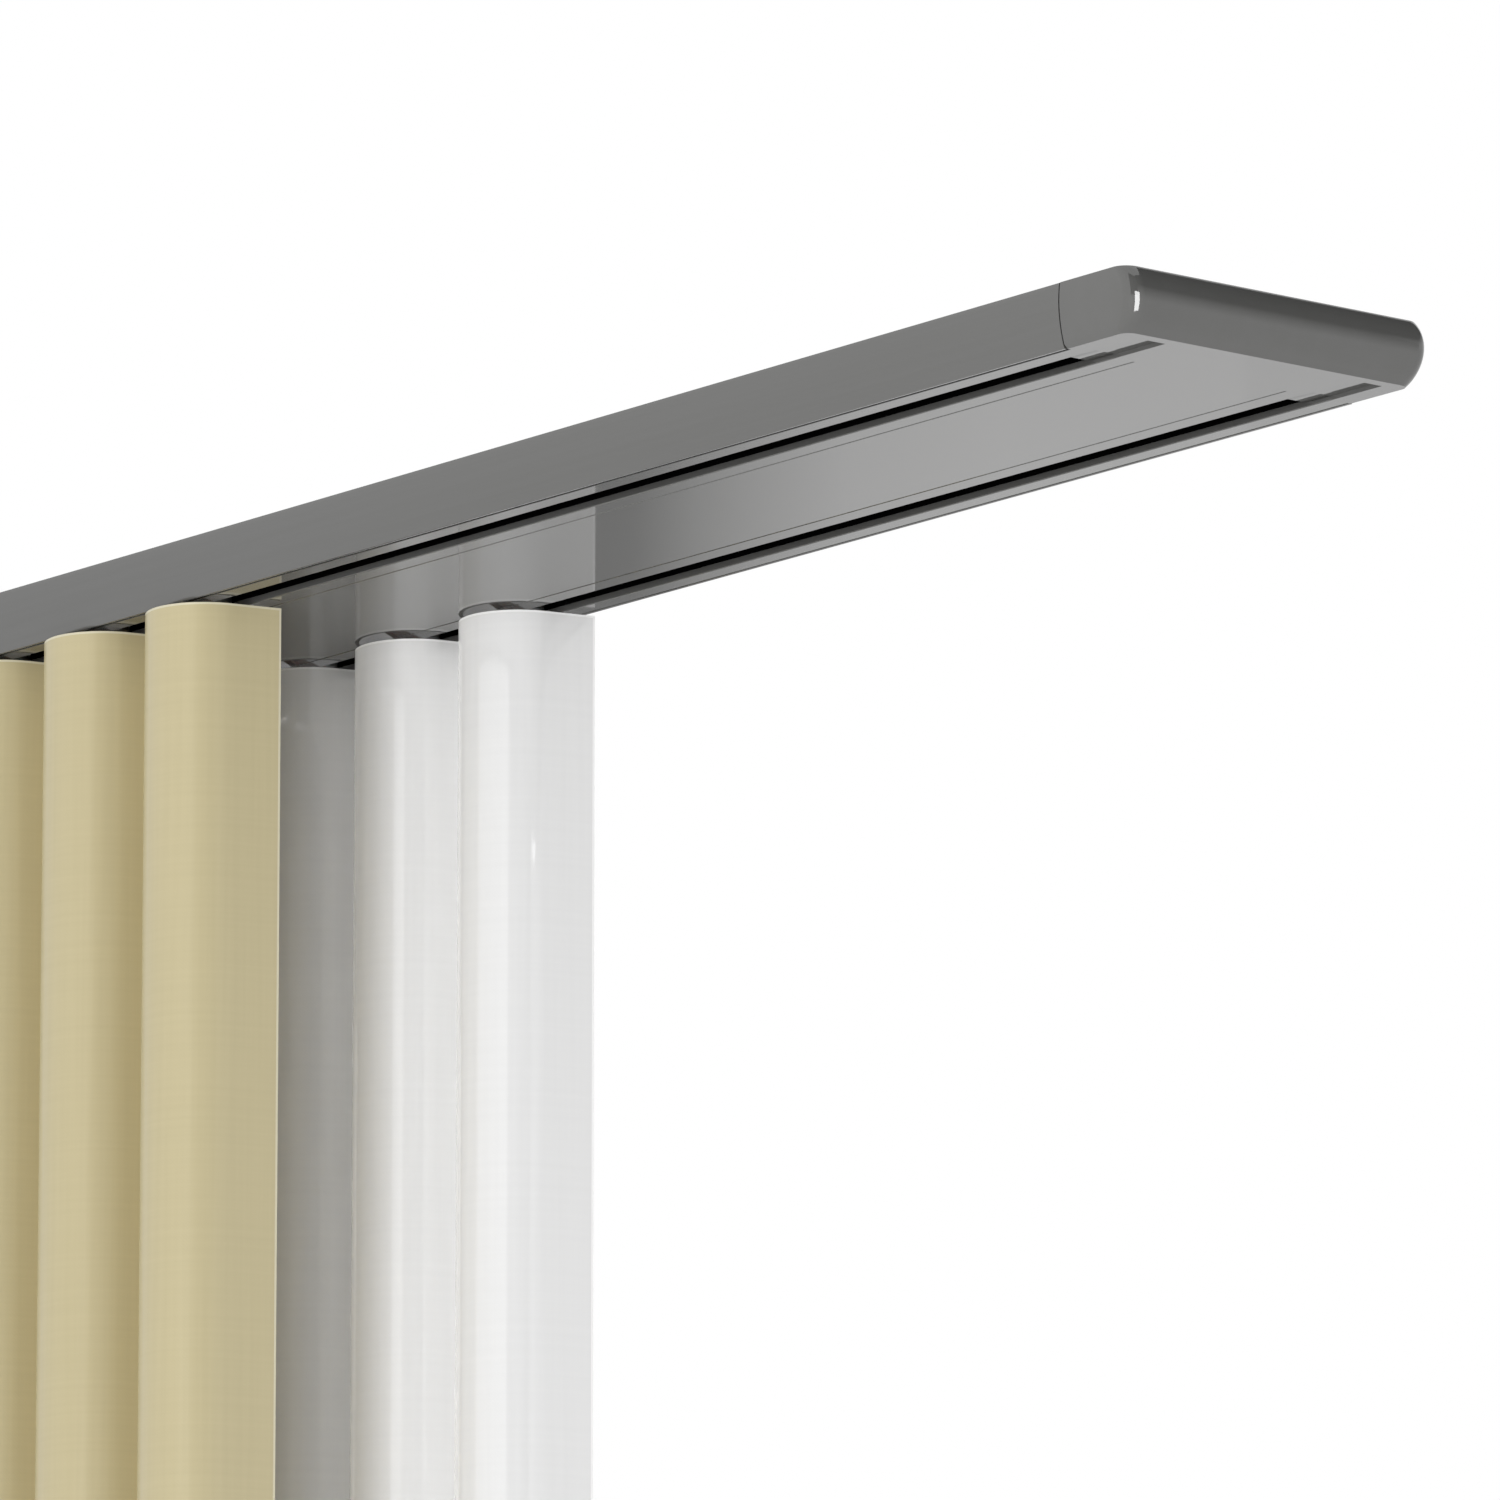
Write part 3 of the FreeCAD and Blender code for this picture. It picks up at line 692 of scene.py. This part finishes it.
# white to the camera and in reflections, a dimmer level as light, least from above
world = bpy.data.worlds.new("studio")
bpy.context.scene.world = world
world.use_nodes = True
worldTree = world.node_tree
worldTree.nodes.clear()
path = addNode(worldTree, "ShaderNodeLightPath").outputs
seen = addNode(worldTree, "ShaderNodeMath", {
    0: path["Is Camera Ray"], 1: path["Is Glossy Ray"]}, operation="MAXIMUM")
seen = addNode(worldTree, "ShaderNodeMath", {
    0: seen.outputs["Value"], 1: path["Is Transmission Ray"]}, operation="MAXIMUM")
direction = addNode(worldTree, "ShaderNodeTexCoord").outputs["Generated"]
rise = addNode(worldTree, "ShaderNodeSeparateXYZ", {"Vector": direction}).outputs["Z"]
level = addNode(worldTree, "ShaderNodeMapRange", {
    "Value": rise, "From Min": studio["ambientFrom"], "From Max": studio["ambientTo"],
    "To Min": studio["ambientBelow"], "To Max": studio["ambientAbove"]},
    interpolation_type="SMOOTHSTEP").outputs["Result"]
ambient = addNode(worldTree, "ShaderNodeBackground", {"Color": (1, 1, 1, 1), "Strength": level})
white = addNode(worldTree, "ShaderNodeBackground", {"Color": (1, 1, 1, 1), "Strength": 1.0})
shown = addNode(worldTree, "ShaderNodeMixShader", {
    0: seen.outputs["Value"], 1: ambient.outputs["Background"], 2: white.outputs["Background"]})
addNode(worldTree, "ShaderNodeOutputWorld", {"Surface": shown.outputs["Shader"]})


# a square soft box aimed at a point
def addSoftBox(name, place, aim, size, watts):
    lamp = bpy.data.lights.new(name, "AREA")
    lamp.energy = watts
    lamp.size = size
    box = bpy.data.objects.new(name, lamp)
    direction = np.subtract(aim, place)
    turn = math.atan2(direction[1], direction[0])
    tilt = math.atan2(direction[2], math.hypot(direction[0], direction[1]))
    box.location = place
    box.rotation_euler = (math.pi / 2 + tilt, 0, turn - math.pi / 2)
    box.visible_camera = False
    box.visible_glossy = False
    bpy.context.scene.collection.objects.link(box)
    return box


# lights the given pieces alone; only the floor, out of the way below, may shade them
def lightOnly(source, pieces):
    lit = bpy.data.collections.new(source.name + "Lights")
    for piece in pieces:
        lit.objects.link(piece)
    shading = bpy.data.collections.new(source.name + "Shades")
    shading.objects.link(floor)
    source.light_linking.receiver_collection = lit
    source.light_linking.blocker_collection = shading


# lights all but the floor, which the world lights evenly
def spareFloor(source):
    spared = bpy.data.collections.new(source.name + "Spares")
    spared.objects.link(floor)
    spared.collection_objects[0].light_linking.link_state = "EXCLUDE"
    source.light_linking.receiver_collection = spared


# places and sizes of lamps and cards are in metres
softBoxes = {
    "keyBox": {"place": (1.25, -2.68, -0.52), "aim": (0.1, 0, -0.1), "size": 1.4, "watts": 47},
    "lowBox": {"place": (2.2, 0.3, -0.9), "aim": (0.4, 0, 0), "size": 1.0, "watts": 5},
    "backBox": {"place": (-1.0, 2.6, 0.6), "aim": (0, 0, -0.4), "size": 1.4, "watts": 28},
}
for boxName, box in softBoxes.items():
    spareFloor(addSoftBox(boxName, **box))
# the rear curtain, in the narrow gap, gets its fill from both sides
gapFills = {
    "leftFill": {"place": (-2.8, -0.75, -0.45), "aim": (0.1, 0.03, -0.2), "size": 1.4, "watts": 45},
    "rightFill": {"place": (2.92, -1.0, -0.45), "aim": (0.1, 0.03, -0.2), "size": 1.4, "watts": 10},
}
for boxName, box in gapFills.items():
    lightOnly(addSoftBox(boxName, **box), [rearCurtain])


# upright studio cards that only reflections see: a shade graded from one end to the other,
# which comes out of white over the fade's height; a card for some pieces only is clear to all others
def addCard(name, begin, finish, low, high, stops, fade=0.001, only=None):
    material, tree, shader = newMaterial(name)
    tree.nodes.remove(shader)
    shade = addNode(tree, "ShaderNodeAttribute", attribute_name="shade").outputs["Fac"]
    glow = addNode(tree, "ShaderNodeEmission", {"Strength": shade})
    if only:
        clear = addNode(tree, "ShaderNodeBsdfTransparent")
        glow = addNode(tree, "ShaderNodeAddShader", {0: glow.outputs[0], 1: clear.outputs[0]})
    tree.links.new(glow.outputs[0], tree.nodes["Material Output"].inputs["Surface"])
    shares, shades = np.transpose(stops)
    along = shares[None, :, None]
    plan = np.asarray(begin) + along * np.subtract(finish, begin)
    levels = np.array([low, low + fade, high])
    heights = levels[:, None, None] + 0 * along
    points = np.concatenate([np.repeat(plan, len(levels), axis=0), heights], -1)
    card = buildPiece(name, [(points / mm, gridFaces(len(levels), len(stops)).tolist())], material)
    places = np.zeros(3 * len(card.data.vertices))
    card.data.vertices.foreach_get("co", places)
    places = places.reshape(-1, 3)
    run = np.subtract(finish, begin)
    share = (places[:, :2] - begin) @ run / (run @ run)
    weight = np.interp(places[:, 2], [low, low + fade], [0, 1])
    values = 1 + (np.interp(share, shares, shades) - 1) * weight
    card.data.attributes.new("shade", "FLOAT", "POINT").data.foreach_set("value", values)
    card.visible_camera = False
    card.visible_diffuse = False
    card.visible_shadow = False
    if only:
        lightOnly(card, only)


# each stop is a share of the way along the card and the shade there
darkStops = [(0, 0.05), (1, 0.05)]
sideStops = [(0, 0.1), (1, 0.1)]
paneStops = [(0, 9), (1, 9)]
backStops = [(0, 0.32), (0.76, 0.32), (0.79, 0.37), (0.813, 0.6),
             (0.832, 0.75), (0.866, 0.97), (0.92, 1.05), (1, 1.05)]
addCard("backCard", (-1.6, 0.6), (-0.3, 0.6), low=-0.6, high=0.0, stops=backStops)
addCard("sideCard", (1.207, -1.657), (2.33, -0.52), low=0.07, high=3.2, stops=sideStops)
addCard("endCard", (2.33, -0.52), (1.9, 1.6), low=0.0, high=3.2, stops=darkStops, fade=1.2)
addCard("farCard", (1.9, 1.6), (-0.3, 2.2), low=0.6, high=3.2, stops=darkStops, fade=0.6)
addCard("windowPane", (1.46, -0.803), (1.842, -0.141), low=-1.1, high=0.29, stops=paneStops, only=caps)
print("studio made")

bpy.context.scene.view_settings.view_transform = "Standard"
